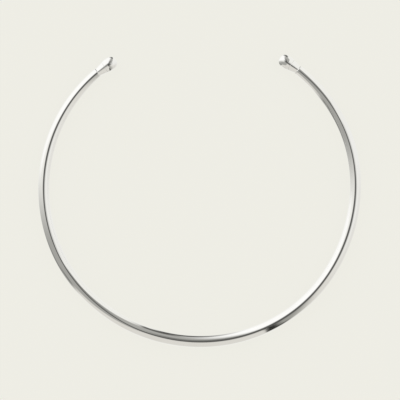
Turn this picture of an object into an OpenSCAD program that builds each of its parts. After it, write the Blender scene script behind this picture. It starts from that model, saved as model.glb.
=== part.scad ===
// Rigid open neck ring of polished silver, lying flat as it rests on a surface.
// The opening for the nape faces +Y, the front of the ring faces -Y, and up is +Z.
// The origin is on the surface, under the middle of the ring's outer box.

/* [Neck ring] */
// Width between the rod's centre line at the left and at the right
centre_width = 135; // [120:1:150]
// From the widest place forward to the rod's centre line at the front
front_depth = 67; // [60:0.5:74]
// From the widest place back to where the oval would close
rear_depth = 65.6; // [60:0.1:74]
// Angle round the oval that is left open at the nape
opening_angle = 80; // [60:1:110]
// Diameter of the rod at the middle of the front
front_d = 5.1; // [4.9:0.05:5.3]
// Diameter of the rod at its two ends
end_d = 4.25; // [4.2:0.05:4.3]

/* [Flared necks] */
// Thickness of the neck where it leaves the rod
neck_d = 3.65; // [3.6:0.05:4.1]
// Length of the neck, from the rod to the seam
neck_length = 3.75; // [3.6:0.05:4.5]
// How far each neck turns inwards from the line of the rod
neck_turn = 4; // [0:0.5:6]

/* [End caps] */
// Largest width of the cap
cap_width = 5.85; // [5.6:0.05:6.2]
// Largest height of the cap, which is spread a little flat
cap_height = 4.6; // [4.6:0.05:5]
// Length of the rim, from the seam to the cap's largest width
rim_length = 1.6; // [1.4:0.05:2]
// How much the rim still widens past the seam
rim_swell = 0.6; // [0.4:0.05:0.7]
// Whole length of the cap, from the seam to the tip
cap_length = 5.75; // [5.6:0.05:6.4]
// How blunt the nose is, where 2 is an ellipse
nose_power = 2.5; // [2:0.1:3]
// Open gap at the seam
seam_gap = 0.05; // [0.04:0.01:0.12]
// Diameter of the hidden spigot that holds the cap
spigot_d = 2.4; // [2:0.1:2.6]
// Length of the hidden spigot
spigot_length = 3.2; // [2.4:0.1:3.2]

/* [Hidden] */

// Sweep of the rod
sweep_steps = 96;
rod_sides = 24;
end_t = 180 - opening_angle / 2;
end_round = 0.12;
edge_t = end_round / (centre_width / 2) * 180 / PI;

// Shape of the necks and caps
end_sides = 36;
neck_steps = 8;
rim_steps = 4;
nose_steps = 11;
nose_last = 85;
edge = 0.05;
seam_width = cap_width - rim_swell;
nose_start = neck_length + rim_length;
nose_length = cap_length - rim_length;

// The hole for the spigot
socket_depth = 1.2;
hole_clearance = 0.05;
hole_spare = 0.2;
hole_length = spigot_length + hole_spare;

// One end of the rod's centre line, and the way that the neck and cap point from it
end_point = centre_at(end_t);
end_along = along_at(end_t);
end_heading = atan2(end_along[1], end_along[0]) + neck_turn;

// The outer box of the flat ring, front to back
box_front = -front_depth - front_d / 2;
box_rear = max([for (s = cap_sections()) end_point[1] + s[0] * sin(end_heading) - s[1] * cos(end_heading)]);

// The front of the rod and the two caps all touch the surface
cap_rest = end_point[1] + nose_start * sin(end_heading);
lay_tilt = asin((cap_height - front_d) / 2 / (cap_rest + front_depth));
lay_height = front_d / 2 + front_depth * sin(lay_tilt);

// Depth of the oval at t degrees round from the front, towards +X
function depth_at(t) = abs(t) < 90 ? front_depth : rear_depth;
function centre_at(t) = [centre_width / 2 * sin(t), -depth_at(t) * cos(t)];
function along_at(t) = let (v = [centre_width / 2 * cos(t), depth_at(t) * sin(t)]) v / norm(v);

// The rod thins from the front to its ends, and its last edges are rounded off
function rod_d(t) = front_d + (end_d - front_d) * pow(t / end_t, 2);
function rod_r(t) = rod_d(t) / 2 - (abs(t) > end_t - edge_t / 2 ? end_round : 0);

// One ring of points round the rod
function rod_ring(t) = let (c = centre_at(t), v = along_at(t), r = rod_r(t))
    [for (k = [0 : rod_sides - 1]) let (a = 360 * k / rod_sides)
        [c[0] + v[1] * r * cos(a), c[1] - v[0] * r * cos(a), r * sin(a)]];

// Width and height of the neck and cap, z along from the rod
function width_at(z) = z < neck_length
    ? neck_d + (seam_width - neck_d) * z / neck_length
    : seam_width + rim_swell * sin(90 * (z - neck_length) / rim_length);
function height_at(z) = neck_d + (cap_height - neck_d) * z / nose_start;

// A section across the neck or cap: its place, half width and half height
function section(z, inset = 0) = [z, width_at(z) / 2 - inset, height_at(z) / 2 - inset];
function nose_section(a) = let (out = pow(cos(a), 2 / nose_power))
    [nose_start + nose_length * pow(sin(a), 2 / nose_power), cap_width / 2 * out, cap_height / 2 * out];

function neck_sections() = let (last = neck_length - edge) concat(
    [section(-socket_depth)],
    [for (i = [0 : neck_steps]) section(last * i / neck_steps)],
    [section(neck_length, edge)]
);

function cap_sections() = let (first = neck_length + seam_gap + edge) concat(
    [section(first - edge, edge)],
    [for (i = [0 : rim_steps]) section(first + (nose_start - first) * i / rim_steps)],
    [for (i = [1 : nose_steps]) nose_section(nose_last * i / nose_steps)]
);

// A solid through rings of points, all with the same number of points
module through(rings) {
    sides = len(rings[0]);
    last = len(rings) - 1;
    walls = [for (i = [0 : last - 1]) for (k = [0 : sides - 1])
        let (a = i * sides, b = a + sides, n = (k + 1) % sides) [a + k, a + n, b + n, b + k]];
    first_face = [for (k = [0 : sides - 1]) sides - 1 - k];
    last_face = [for (k = [0 : sides - 1]) last * sides + k];
    polyhedron([for (ring = rings) each ring], concat(walls, [first_face, last_face]), 4);
}

module through_sections(sections) {
    through([for (s = sections) [for (k = [0 : end_sides - 1]) let (a = 360 * k / end_sides)
        [s[2] * sin(a), s[1] * cos(a), s[0]]]]);
}

module rod() {
    body_t = end_t - edge_t;
    stations = concat([-end_t], [for (i = [0 : sweep_steps]) body_t * (2 * i / sweep_steps - 1)], [end_t]);
    through([for (t = stations) rod_ring(t)]);
}

// Puts a shape, drawn along +Z, on the right end of the rod
module at_right_end() {
    translate([end_point[0], end_point[1], 0]) rotate([0, 0, end_heading]) rotate([0, 90, 0]) children();
}

module at_both_ends() {
    at_right_end() children();
    mirror([1, 0, 0]) at_right_end() children();
}

// Lays the flat ring on the surface and brings the middle of its box to the origin
module as_laid() {
    translate([0, -(box_front + box_rear) / 2, lay_height]) rotate([lay_tilt, 0, 0]) children();
}

module spigot_hole() {
    translate([0, 0, neck_length - hole_length])
        cylinder(h = hole_length + 1, d = spigot_d + 2 * hole_clearance, $fn = 96);
}

module neck_ring() {
    color("silver") as_laid() difference() {
        union() {
            rod();
            at_both_ends() through_sections(neck_sections());
        }
        at_both_ends() spigot_hole();
    }
}

// The hidden spigot points back along -Z from inside the cap
module spigot() {
    spigot_r = spigot_d / 2;
    rotate_extrude($fn = 96) polygon([
        [0, neck_length - spigot_length],
        [spigot_r - edge, neck_length - spigot_length],
        [spigot_r, neck_length - spigot_length + edge],
        [spigot_r, nose_start],
        [0, nose_start]
    ]);
}

module cap() {
    through_sections(cap_sections());
    spigot();
}

module end_cap_right() {
    color("silver") as_laid() at_right_end() cap();
}

module end_cap_left() {
    color("silver") as_laid() mirror([1, 0, 0]) at_right_end() cap();
}

neck_ring();
end_cap_left();
end_cap_right();
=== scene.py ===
"""Dresses the rigid neck ring: smooth polished-silver meshes, a soft studio and a camera straight above."""
import math

import bmesh
import bpy
from mathutils import Matrix, Vector


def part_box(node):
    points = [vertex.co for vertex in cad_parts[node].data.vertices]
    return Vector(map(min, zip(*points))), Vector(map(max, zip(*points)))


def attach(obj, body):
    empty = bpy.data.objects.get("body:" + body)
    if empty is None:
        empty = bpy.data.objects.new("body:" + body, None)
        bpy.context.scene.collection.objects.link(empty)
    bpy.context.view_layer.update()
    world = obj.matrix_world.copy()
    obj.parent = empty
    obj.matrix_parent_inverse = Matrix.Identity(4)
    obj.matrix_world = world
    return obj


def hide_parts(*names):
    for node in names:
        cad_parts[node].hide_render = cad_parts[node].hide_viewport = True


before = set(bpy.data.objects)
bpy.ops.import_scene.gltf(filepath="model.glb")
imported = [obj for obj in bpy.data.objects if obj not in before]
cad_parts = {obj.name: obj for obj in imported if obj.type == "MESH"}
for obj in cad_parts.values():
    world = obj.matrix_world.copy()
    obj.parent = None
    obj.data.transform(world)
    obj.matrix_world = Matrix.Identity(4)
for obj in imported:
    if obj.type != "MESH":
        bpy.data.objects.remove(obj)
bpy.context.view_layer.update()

MM = 0.001

# Neck ring, in millimetres and degrees
CENTRE_WIDTH = 135.0    # between the rod's centre line at the left and at the right
FRONT_DEPTH = 67.0      # from the widest place forward to the rod's centre line
REAR_DEPTH = 65.6       # from the widest place back to where the oval would close
OPENING = 80.0          # round the oval, left open at the nape
FRONT_D = 5.1           # rod, at the middle of the front
END_D = 4.25            # rod, at its two ends
END_ROUND = 0.12        # rounding of the rod's last edges

# Slight unevenness of the hand-bent rod: degrees round the oval, millimetres outwards
BENDS = [(-140, -0.13), (-100, -0.21), (-62, 0.12), (-36, -0.12), (-8, -0.21), (36, 0.08),
         (70, -0.24), (112, 0.22), (140, -0.17)]

# Necks and end caps, in millimetres
NECK_D = 3.65           # where the neck leaves the rod
NECK_LENGTH = 3.75
NECK_TURN = 4.0         # degrees that the necks turn inwards from the rod's line
SEAM_WIDTH = 5.25       # where the neck meets the cap
SEAM_GAP = 0.05
SEAM_ROUND = 0.05
CAP_WIDTH = 5.85        # at its widest place
CAP_HEIGHT = 4.6
CAP_LENGTH = 5.75
RIM_LENGTH = 1.6        # from the seam to the widest place
NOSE_POWER = 2.5        # how blunt the nose is, where 2 is an ellipse

# Photograph: the camera looks straight down through a long lens
IMAGE_WIDTH = 172.97    # millimetres seen across the picture, at the rod's centre line
CAMERA_HEIGHT = 1200.0
CAMERA_AIM = (0.19, 0.77)
CAMERA_ROLL = 0.72      # degrees that the ring is turned anticlockwise in the picture
SENSOR = 36.0           # width of the camera's sensor
SEES_TO = 10.0          # metres that the camera sees

# Mesh fineness
ALONG_STEP = 0.2        # degrees to each side, for the rod's direction
ROD_STEPS = 480
ROUND_SIDES = 96
NECK_STEPS = 48
RIM_STEPS = 24
EDGE_STEPS = 6
NOSE_STEPS = 64

end_t = 180 - OPENING / 2
nose_start = NECK_LENGTH + RIM_LENGTH
nose_length = CAP_LENGTH - RIM_LENGTH

# The rod's centre line at the front, where the frame lays it
ring_low, ring_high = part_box("neck_ring")
laid_front = Vector((0, ring_low[1] + FRONT_D / 2 * MM, ring_low[2] + FRONT_D / 2 * MM))


# Shapes

def bend_at(t):
    """How far the hand-bent rod stands outside the true oval."""
    for (a, before), (b, after) in zip(BENDS, BENDS[1:]):
        if t <= b:
            u = (1 - math.cos(math.pi * max(t - a, 0) / (b - a))) / 2
            return before + (after - before) * u
    return BENDS[-1][1]


def centre_at(t):
    """The rod's centre line, at t degrees round from the front towards +X."""
    a = math.radians(t)
    depth = FRONT_DEPTH if abs(t) < 90 else REAR_DEPTH
    on_oval = Vector((CENTRE_WIDTH / 2 * math.sin(a), -depth * math.cos(a), 0))
    return on_oval + on_oval.normalized() * bend_at(t)


def along_at(t):
    """The way that the rod points at t."""
    after = centre_at(min(t + ALONG_STEP, end_t))
    before = centre_at(max(t - ALONG_STEP, -end_t))
    return (after - before).normalized()


def rod_radius(t):
    """The rod thins from the front to its ends."""
    return (FRONT_D + (END_D - FRONT_D) * (t / end_t) ** 2) / 2


def half_sizes(z):
    """Half width and half height of the neck and cap, z from the rod's end up to the widest place."""
    if z < NECK_LENGTH:
        width = NECK_D + (SEAM_WIDTH - NECK_D) * z / NECK_LENGTH
    else:
        swell = math.sin(math.pi / 2 * (z - NECK_LENGTH) / RIM_LENGTH)
        width = SEAM_WIDTH + (CAP_WIDTH - SEAM_WIDTH) * swell
    height = NECK_D + (CAP_HEIGHT - NECK_D) * z / nose_start
    return width / 2, height / 2


def rounded_edge(distance, radius):
    """How far a rounded edge falls away, at a distance back from it."""
    if distance >= radius:
        return 0
    return radius - math.sqrt(radius ** 2 - (radius - distance) ** 2)


def steps(start, stop, count):
    """Even steps from start to stop, with both."""
    return [start + (stop - start) * i / count for i in range(count + 1)]


def neck_sections():
    """From the rod's end, along the flared neck, into the seam: place, half width, half height."""
    start = END_ROUND
    edge = NECK_LENGTH - SEAM_ROUND
    places = steps(start, edge, NECK_STEPS) + steps(edge, NECK_LENGTH, EDGE_STEPS)[1:]
    sections = []
    for z in places:
        fall = rounded_edge(NECK_LENGTH - z, SEAM_ROUND)
        width, height = half_sizes(z)
        sections.append((z, width - fall, height - fall))
    return sections + [(NECK_LENGTH, 0, 0)]


def cap_sections():
    """From inside the seam, over the rim, to the tip."""
    seam = NECK_LENGTH + SEAM_GAP
    edge = seam + SEAM_ROUND
    sections = [(seam, 0, 0)]
    for z in steps(seam, edge, EDGE_STEPS) + steps(edge, nose_start, RIM_STEPS)[1:]:
        fall = rounded_edge(z - seam, SEAM_ROUND)
        width, height = half_sizes(z)
        sections.append((z, width - fall, height - fall))
    for a in steps(0, math.pi / 2, NOSE_STEPS)[1:]:
        out = max(math.cos(a), 0) ** (2 / NOSE_POWER)
        z = nose_start + nose_length * math.sin(a) ** (2 / NOSE_POWER)
        sections.append((z, CAP_WIDTH / 2 * out, CAP_HEIGHT / 2 * out))
    sections[-1] = (nose_start + nose_length, 0, 0)
    return sections


def ring_points(centre, along, half_width, half_height):
    """Points round a level line through the centre, or the centre itself."""
    if half_width == 0:
        return [centre]
    side = Vector((along.y, -along.x, 0)) * half_width
    up = Vector((0, 0, half_height))
    turns = steps(0, 2 * math.pi, ROUND_SIDES)[:-1]
    return [centre + side * math.cos(a) + up * math.sin(a) for a in turns]


def terminal_line(hand):
    """Where the neck starts at the right (1) or left (-1) end of the rod, and the way it points."""
    heading = hand * along_at(hand * end_t)
    heading.rotate(Matrix.Rotation(hand * math.radians(NECK_TURN), 3, "Z"))
    return centre_at(hand * end_t), heading


def terminal_rings(sections, hand):
    """Rings of a neck or cap."""
    rod_end, heading = terminal_line(hand)
    return [ring_points(rod_end + heading * z, hand * heading, width, height)
            for z, width, height in sections]


def loft(rings):
    """A mesh through rings of points, each whole or a single point."""
    bm = bmesh.new()
    made = [[bm.verts.new(p) for p in ring] for ring in rings]
    for a, b in zip(made, made[1:]):
        for k in range(ROUND_SIDES):
            j = (k + 1) % ROUND_SIDES
            if len(a) == 1:
                bm.faces.new((a[0], b[j], b[k]))
            elif len(b) == 1:
                bm.faces.new((a[k], a[j], b[0]))
            else:
                bm.faces.new((a[k], a[j], b[j], b[k]))
    return bm


def as_laid():
    """The front of the rod and both caps rest on the surface."""
    rod_end, heading = terminal_line(1)
    cap_rest = rod_end.y + heading.y * nose_start
    tilt = math.asin((CAP_HEIGHT - FRONT_D) / 2 / (cap_rest + FRONT_DEPTH))
    return (Matrix.Translation(laid_front) @ Matrix.Rotation(tilt, 4, "X") @ Matrix.Scale(MM, 4)
            @ Matrix.Translation((0, FRONT_DEPTH, 0)))


def finish_piece(bm, name, cad_node):
    """Lays the mesh where the frame lays the ring and makes it stand for its CAD node."""
    bmesh.ops.transform(bm, matrix=as_laid(), verts=bm.verts)
    bmesh.ops.recalc_face_normals(bm, faces=bm.faces)
    mesh = bpy.data.meshes.new(name)
    bm.to_mesh(mesh)
    bm.free()
    mesh.polygons.foreach_set("use_smooth", [True] * len(mesh.polygons))
    mesh.materials.append(silver)
    piece = bpy.data.objects.new(name, mesh)
    bpy.context.scene.collection.objects.link(piece)
    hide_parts(cad_node)
    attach(piece, "root")


def make_ring():
    """The rod with both necks."""
    rod = []
    edge_t = math.degrees(END_ROUND / (CENTRE_WIDTH / 2))
    body_t = end_t - edge_t
    stations = (steps(-end_t, -body_t, EDGE_STEPS) + steps(-body_t, body_t, ROD_STEPS)[1:]
                + steps(body_t, end_t, EDGE_STEPS)[1:])
    for t in stations:
        to_end = (end_t - abs(t)) / edge_t * END_ROUND
        radius = rod_radius(t) - rounded_edge(to_end, END_ROUND)
        rod.append(ring_points(centre_at(t), along_at(t), radius, radius))
    neck = neck_sections()
    rings = terminal_rings(neck, -1)[::-1] + rod + terminal_rings(neck, 1)
    finish_piece(loft(rings), "silver_ring", "neck_ring")


def make_cap(side, hand):
    finish_piece(loft(terminal_rings(cap_sections(), hand)), "silver_cap_" + side, "end_cap_" + side)


# Material

NOISE_RANGE = (0.3, 0.7)        # where the noise goes from the first look to the second
TINTS = ((0.925, 0.917, 0.9, 1), (0.955, 0.95, 0.938, 1))
ROUGHNESS = (0.03, 0.07)

# Each kind of noise: spots to the metre, and fineness
TARNISH = (90, 4)
HAZE = (260, 6)
SCRATCHES = (2600, 3)
RIPPLE = (150, 2)

# Relief of the scratches and the ripple: strength, and depth in metres
SCRATCH_RELIEF = (0.03, 0.00002)
RIPPLE_RELIEF = (0.2, 0.00006)


def noise(tree, kind):
    """Soft three-dimensional noise."""
    place = tree.nodes.new("ShaderNodeTexCoord")
    made = tree.nodes.new("ShaderNodeTexNoise")
    made.inputs["Scale"].default_value, made.inputs["Detail"].default_value = kind
    tree.links.new(place.outputs["Object"], made.inputs["Vector"])
    return made.outputs["Fac"]


def bump(tree, height, relief, normal=None):
    """Relief that follows the height, over what the normal already holds."""
    made = tree.nodes.new("ShaderNodeBump")
    made.inputs["Strength"].default_value, made.inputs["Distance"].default_value = relief
    tree.links.new(height, made.inputs["Height"])
    if normal:
        tree.links.new(normal, made.inputs["Normal"])
    return made.outputs["Normal"]


def polished_silver():
    """Polished silver with a faint hand-polished ripple, fine wear scratches and a slight haze."""
    mat = bpy.data.materials.new("polished_silver")
    mat.use_nodes = True
    tree = mat.node_tree
    link = tree.links.new
    metal = tree.nodes["Principled BSDF"]
    metal.inputs["Metallic"].default_value = 1.0

    # Colour: a very slight warm tarnish in soft clouds
    tint = tree.nodes.new("ShaderNodeValToRGB")
    for element, position, colour in zip(tint.color_ramp.elements, NOISE_RANGE, TINTS):
        element.position = position
        element.color = colour
    link(noise(tree, TARNISH), tint.inputs["Fac"])
    link(tint.outputs["Color"], metal.inputs["Base Color"])

    # Roughness: polished, with a slight haze where hands have rubbed it
    rough = tree.nodes.new("ShaderNodeMapRange")
    rough.inputs["From Min"].default_value, rough.inputs["From Max"].default_value = NOISE_RANGE
    rough.inputs["To Min"].default_value, rough.inputs["To Max"].default_value = ROUGHNESS
    link(noise(tree, HAZE), rough.inputs["Value"])
    link(rough.outputs["Result"], metal.inputs["Roughness"])

    # Relief: fine polishing scratches over the faint ripple of a hand-polished bar
    scratched = bump(tree, noise(tree, SCRATCHES), SCRATCH_RELIEF)
    link(bump(tree, noise(tree, RIPPLE), RIPPLE_RELIEF, scratched), metal.inputs["Normal"])
    return mat


# Studio

FLOOR_HALF = 3.0        # metres, from the middle of the floor to its edge
PAPER = (238, 237, 229)
PAPER_GLOW = 1.05       # makes up for what the faint contact shadow takes
SHADOW = 0.12           # share of the floor's look that takes a shadow
SILVER = 0.94           # share of the light that the silver mirrors

# The soft light that the polished metal mirrors: pale walls, a bright window at the left, a grey
# wall behind, and dark corners. Each panel has its colour, its two edges round the ring, and its
# lower and upper edge. Round the ring is in degrees clockwise from the right. Up and down is the
# tilt of the metal that mirrors it: 0 is overhead, 0.7 is level with the ring, 1 is straight down.
# An edge is (place, softness), and round the ring also its lean overhead.
ROOM = (239, 239, 235)
PANELS = [
    ("wall_right", (236, 236, 233), (-35, 30, 0), (45, 20, 0), (-0.1, 0.1), (1.2, 0.1)),
    ("floor_right", (226, 225, 221), (0, 30, 0), (45, 20, 0), (0.55, 0.3), (1.2, 0.1)),
    ("high_right", (200, 200, 197), (-28, 10, 0), (24, 30, 0), (-0.1, 0.1), (0.26, 0.2)),
    ("wall_front", (216, 214, 208), (26, 34, 0), (144, 8, 0), (-0.1, 0.1), (0.86, 0.2)),
    ("dark_right", (155, 155, 150), (49, 18, -12), (65.3, 2, 0), (-0.1, 0.1), (0.76, 0.14)),
    ("corner_floor", (90, 90, 87), (56.5, 6, 0), (65.5, 1.5, 0), (0.6, 0.1), (0.79, 0.1)),
    ("corner_right", (48, 48, 46), (60, 5, 0), (65.3, 1.5, 0), (0.08, 0.2), (0.76, 0.14)),
    ("grey_left", (163, 163, 159), (140, 8, -62), (176, 34, 0), (-0.1, 0.1), (0.96, 0.1)),
    ("low_left", (120, 120, 117), (142, 4, 0), (149, 6, 0), (0.62, 0.1), (0.79, 0.12)),
    ("floor_left", (127, 127, 124), (148, 6, 0), (160, 16, 0), (0.78, 0.1), (0.95, 0.08)),
    ("window", (254, 254, 253), (187, 14, 60), (290, 14, 0), (-0.1, 0.1), (0.87, 0.25)),
    ("back_wall", (168, 168, 164), (268, 24, -40), (294, 8, 65), (-0.1, 0.1), (0.84, 0.24)),
    ("back_corner", (118, 118, 115), (264, 20, -20), (287, 14, 0), (-0.1, 0.1), (0.3, 0.2)),
    ("back_floor", (95, 95, 92), (279, 8, 0), (291.5, 3, 0), (0.62, 0.12), (0.86, 0.12)),
    ("back_edge", (78, 78, 76), (262, 24, 0), (286, 6, 0), (0.78, 0.1), (0.96, 0.1)),
    ("back_high", (136, 136, 133), (301, 8, 0), (324, 10, 0), (-0.1, 0.1), (0.25, 0.1)),
]
LEAN_BELOW = 0.6        # edges lean where the tilt is less than this
ZENITH = (84, 84, 82)   # the dark lens overhead
ZENITH_EDGE = (0.165, 0.2)
ZENITH_LINE = 40        # the lens is longest this way round the ring
ZENITH_SLIM = 1.4       # how much slimmer it is across
ZENITH_WAIST = 4.0      # how quickly it slims towards that


def linear(colour, share=1.0):
    """Display levels from 0 to 255 as linear light."""
    shares = [c / 255 for c in colour]
    return [(c / 12.92 if c <= 0.04045 else ((c + 0.055) / 1.055) ** 2.4) / share for c in shares] + [1.0]


class Nodes:
    """Short calls for the node tree of the world."""

    def __init__(self, tree):
        self.tree = tree

    def add(self, kind, *values, **settings):
        made = self.tree.nodes.new("ShaderNode" + kind)
        for name, value in settings.items():
            setattr(made, name, value)
        for socket, value in zip(made.inputs, values):
            self.put(value, socket)
        return made

    def put(self, value, socket):
        if isinstance(value, bpy.types.NodeSocket):
            self.tree.links.new(value, socket)
        else:
            socket.default_value = value

    def math(self, operation, *values):
        return self.add("Math", *values, operation=operation).outputs[0]

    def rise(self, value, edge):
        """Goes from 0 to 1 across an edge of (place, softness)."""
        place, softness = edge
        made = self.add("MapRange", value, place - softness / 2, place + softness / 2,
                        interpolation_type="SMOOTHSTEP")
        return made.outputs["Result"]

    def between(self, value_a, low, value_b, high):
        """1 above the low edge and below the high edge, 0 outside."""
        inside = self.rise(value_a, low)
        return self.math("MULTIPLY", inside, self.math("SUBTRACT", 1.0, self.rise(value_b, high)))

    def mix(self, share, below, above):
        made = self.add("Mix", data_type="RGBA")
        self.put(share, made.inputs[0])
        self.put(below, made.inputs[6])
        self.put(above, made.inputs[7])
        return made.outputs[2]


def make_studio():
    world = bpy.data.worlds.new("studio")
    bpy.context.scene.world = world
    world.use_nodes = True
    world.node_tree.nodes.clear()
    nodes = Nodes(world.node_tree)

    # The metal that mirrors a direction straight up has its normal half way between the two
    direction = nodes.add("TexCoord").outputs["Generated"]
    half_way = nodes.add("VectorMath", direction, (0, 0, 1), operation="ADD").outputs[0]
    normal = nodes.add("VectorMath", half_way, operation="NORMALIZE").outputs[0]
    x, y, _ = nodes.add("SeparateXYZ", normal).outputs
    tilt = nodes.math("SQRT", nodes.math("ADD", nodes.math("MULTIPLY", x, x), nodes.math("MULTIPLY", y, y)))
    turn = nodes.math("MULTIPLY", nodes.math("ARCTAN2", y, x), -180 / math.pi)
    overhead = nodes.math("MAXIMUM", nodes.math("SUBTRACT", LEAN_BELOW, tilt), 0.0)

    light = linear(ROOM, SILVER)
    for name, colour, first, last, lower, upper in PANELS:
        middle = (first[0] + last[0]) / 2
        from_middle = nodes.math("SUBTRACT", turn, middle + CAMERA_ROLL)
        from_middle = nodes.math("WRAP", from_middle, 180.0, -180.0)
        leaning = [nodes.math("SUBTRACT", from_middle, nodes.math("MULTIPLY", overhead, edge[2]))
                   for edge in (first, last)]
        across = nodes.between(leaning[0], (first[0] - middle, first[1]),
                               leaning[1], (last[0] - middle, last[1]))
        upright = nodes.between(tilt, lower, tilt, upper)
        light = nodes.mix(nodes.math("MULTIPLY", across, upright), light, linear(colour, SILVER))

    # The lens overhead is slimmer across its length
    off_line = nodes.math("RADIANS", nodes.math("SUBTRACT", turn, ZENITH_LINE + CAMERA_ROLL))
    off_line = nodes.math("ABSOLUTE", nodes.math("SINE", off_line))
    slim = nodes.math("MULTIPLY_ADD", nodes.math("POWER", off_line, ZENITH_WAIST), ZENITH_SLIM, 1.0)
    lens = nodes.rise(nodes.math("MULTIPLY", tilt, slim), ZENITH_EDGE)
    light = nodes.mix(lens, linear(ZENITH, SILVER), light)

    # The camera itself sees plain pale paper past the floor's edge
    seen = nodes.mix(nodes.add("LightPath").outputs["Is Camera Ray"], light, linear(PAPER))
    background = nodes.add("Background", seen)
    nodes.add("OutputWorld", background.outputs[0])


def make_floor():
    """A plain pale sheet with a faint contact shadow."""
    bm = bmesh.new()
    bmesh.ops.create_grid(bm, x_segments=1, y_segments=1, size=FLOOR_HALF)
    mesh = bpy.data.meshes.new("floor")
    bm.to_mesh(mesh)
    bm.free()
    mat = bpy.data.materials.new("pale_paper")
    mat.use_nodes = True
    mat.node_tree.nodes.clear()
    nodes = Nodes(mat.node_tree)
    glow = nodes.add("Emission", linear(PAPER), PAPER_GLOW)
    matt = nodes.add("BsdfDiffuse", linear(PAPER))
    both = nodes.add("MixShader", SHADOW, glow.outputs[0], matt.outputs[0])
    nodes.add("OutputMaterial", both.outputs[0])
    mesh.materials.append(mat)
    floor = bpy.data.objects.new("floor", mesh)
    bpy.context.scene.collection.objects.link(floor)
    floor.visible_glossy = False
    floor.visible_diffuse = False


def make_camera():
    scene = bpy.context.scene
    data = bpy.data.cameras.new("camera")
    data.sensor_width = SENSOR
    data.lens = SENSOR * CAMERA_HEIGHT / IMAGE_WIDTH
    data.clip_end = SEES_TO
    camera = bpy.data.objects.new("camera", data)
    scene.collection.objects.link(camera)
    camera.location = (CAMERA_AIM[0] * MM, CAMERA_AIM[1] * MM, laid_front.z + CAMERA_HEIGHT * MM)
    camera.rotation_euler = (0, 0, -math.radians(CAMERA_ROLL))
    scene.camera = camera
    scene.view_settings.view_transform = "Standard"


silver = polished_silver()
make_ring()
make_cap("right", 1)
make_cap("left", -1)
make_studio()
make_floor()
make_camera()
